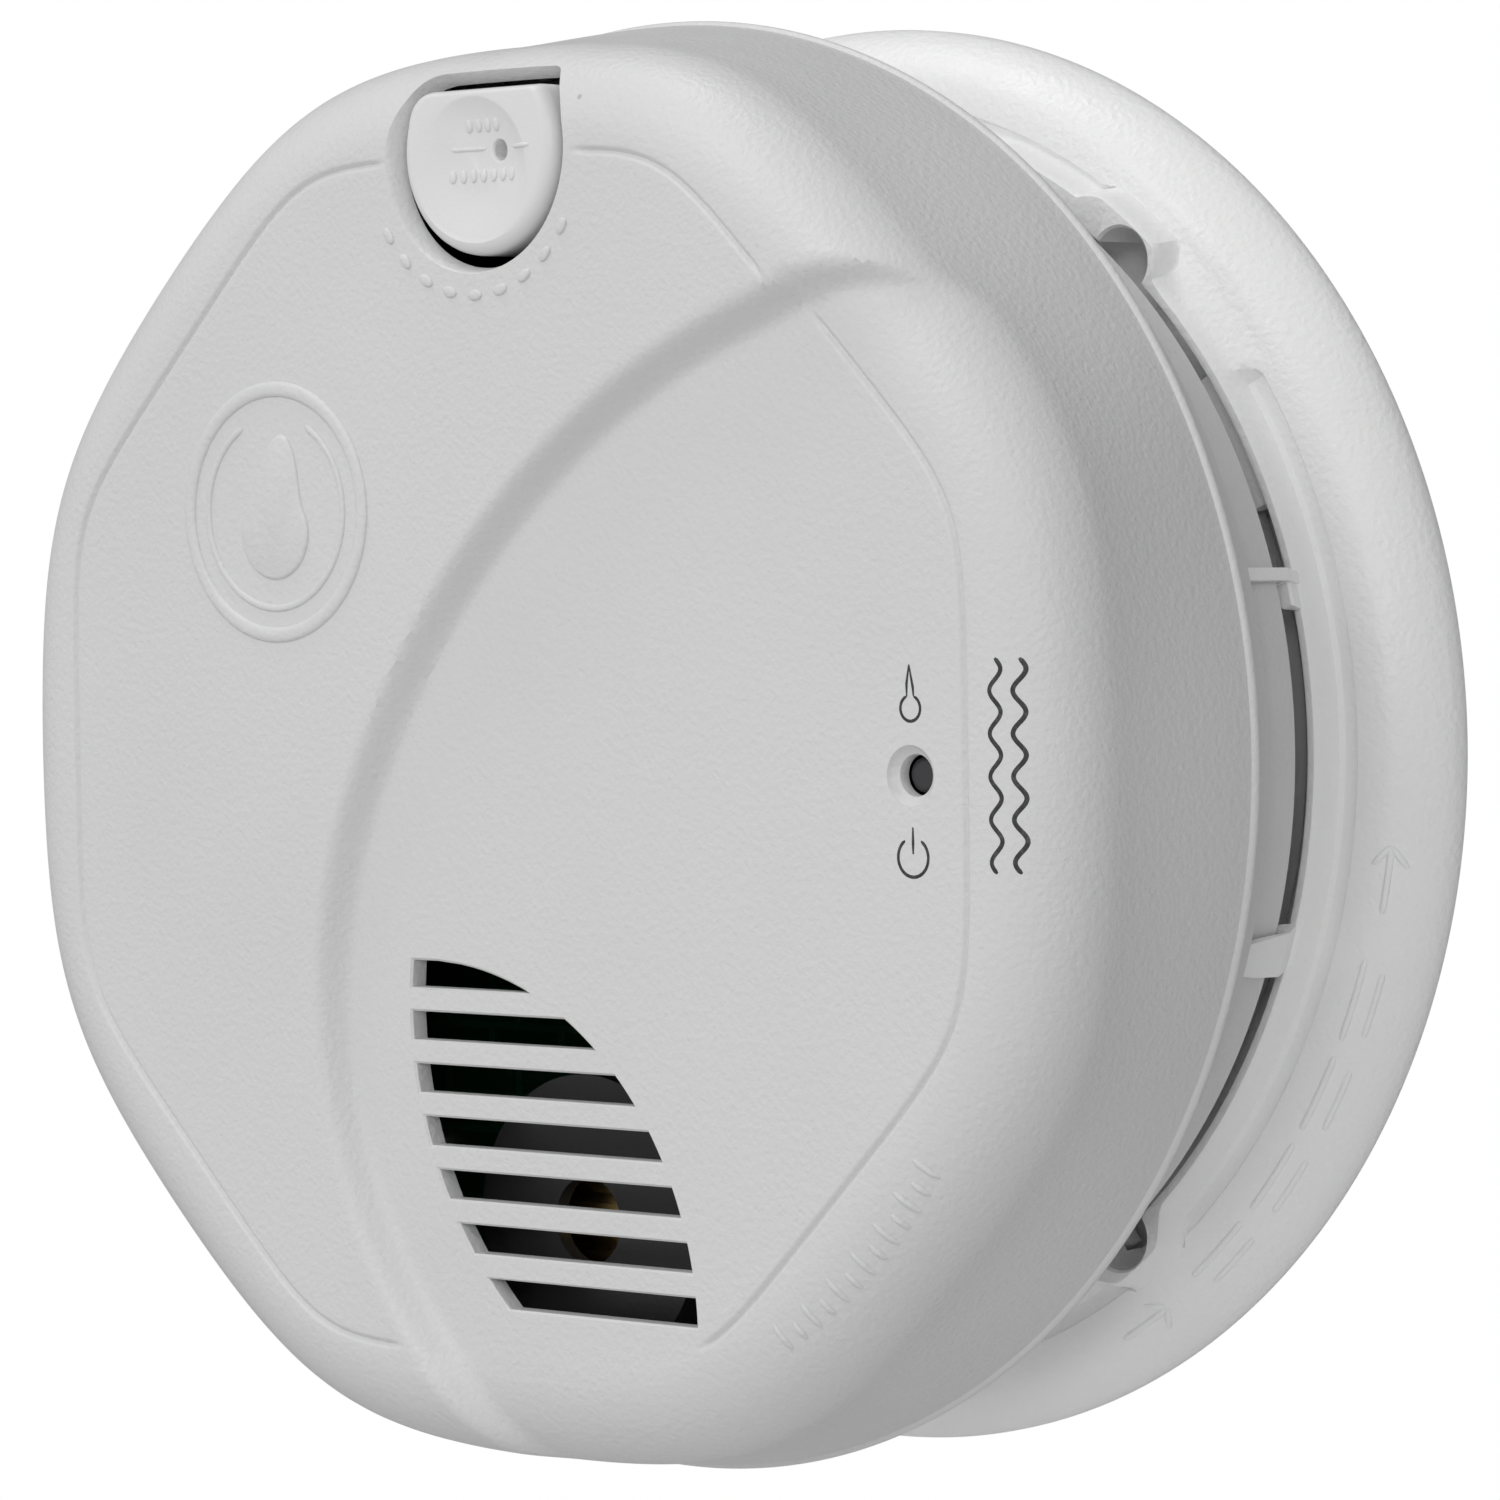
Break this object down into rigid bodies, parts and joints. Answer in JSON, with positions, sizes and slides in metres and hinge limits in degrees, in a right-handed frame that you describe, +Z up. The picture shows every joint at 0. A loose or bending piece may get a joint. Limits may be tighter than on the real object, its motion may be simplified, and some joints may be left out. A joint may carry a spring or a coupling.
{
  "type": "smoke detector",
  "caption": "Wall or ceiling smoke alarm with an octagonal domed cover, stepped face, slotted sounder grille, test button and battery drawer on a round twist-off bracket.",
  "frame": {"origin": "centre of the mounting bracket's back face, on the wall", "axes": "-Y out of the wall towards the viewer, +Y into the wall, +Z up, +X to the right as seen from the front"},
  "size_m": [0.142, 0.0597, 0.142],
  "materials": {
    "shell_plastic": "fine moulded grain",
    "bracket_plastic": "fine moulded grain, slightly glossier on the crown",
    "button_plastic": "smooth moulded",
    "black_plastic": "matt black",
    "horn_plastic": "matt dark grey",
    "board_laminate": "green solder mask",
    "zinc_steel": "bright zinc",
    "spring_metal": "plated spring strip",
    "pin_brass": "plain",
    "label_paper": "blank foil label",
    "clear_resin": "clear moulded",
    "green_resin": "tinted clear",
    "red_resin": "tinted clear",
    "chip_resin": "moulded epoxy",
    "resistor_coat": "lacquer",
    "capacitor_sleeve": "shrink sleeve",
    "film_capacitor": "moulded box",
    "absorber_coat": "dipped epoxy",
    "battery_jacket": "printed metal jacket, plain dark"
  },
  "bodies": {
    "bracket": {"mounting_bracket": "bracket_plastic"},
    "alarm": {"rear_housing": "shell_plastic", "front_cover": "shell_plastic", "circuit_board": "board_laminate", "board_screws": "zinc_steel", "test_switch": "black_plastic", "battery_contacts": "spring_metal", "power_inlet": "black_plastic", "inlet_pins": "pin_brass", "rating_label": "label_paper", "optic_base": "black_plastic", "infrared_led": "clear_resin", "photodiode": "clear_resin", "labyrinth_cap": "black_plastic", "insect_screen": "zinc_steel", "horn_housing": "horn_plastic", "piezo_disc": "pin_brass", "horn_contacts": "spring_metal", "light_guide": "clear_resin", "power_led": "green_resin", "alarm_led": "red_resin", "microcontroller": "chip_resin", "horn_driver": "chip_resin", "resistors": "resistor_coat", "diodes": "chip_resin", "electrolytic_capacitors": "capacitor_sleeve", "mains_capacitor": "film_capacitor", "surge_absorber": "absorber_coat"},
    "button": {"test_button": "button_plastic", "switch_plunger": "black_plastic"},
    "drawer": {"battery_drawer": "shell_plastic", "battery": "battery_jacket", "battery_terminals": "zinc_steel"}
  },
  "joints": [
    {"name": "alarm_twist", "type": "hinge", "parent": "bracket", "child": "alarm", "pos_m": [0, 0, 0], "axis": [0, -1, 0], "range_deg": [0, 15]},
    {"name": "test_press", "type": "slide", "parent": "alarm", "child": "button", "axis": [0, 1, 0], "range_m": [0, 0.0015], "stiffness_N_per_m": 1200, "springref_m": -0.0006},
    {"name": "drawer_slide", "type": "slide", "parent": "alarm", "child": "drawer", "axis": [-1, 0, 0], "range_m": [0, 0.046]}
  ]
}
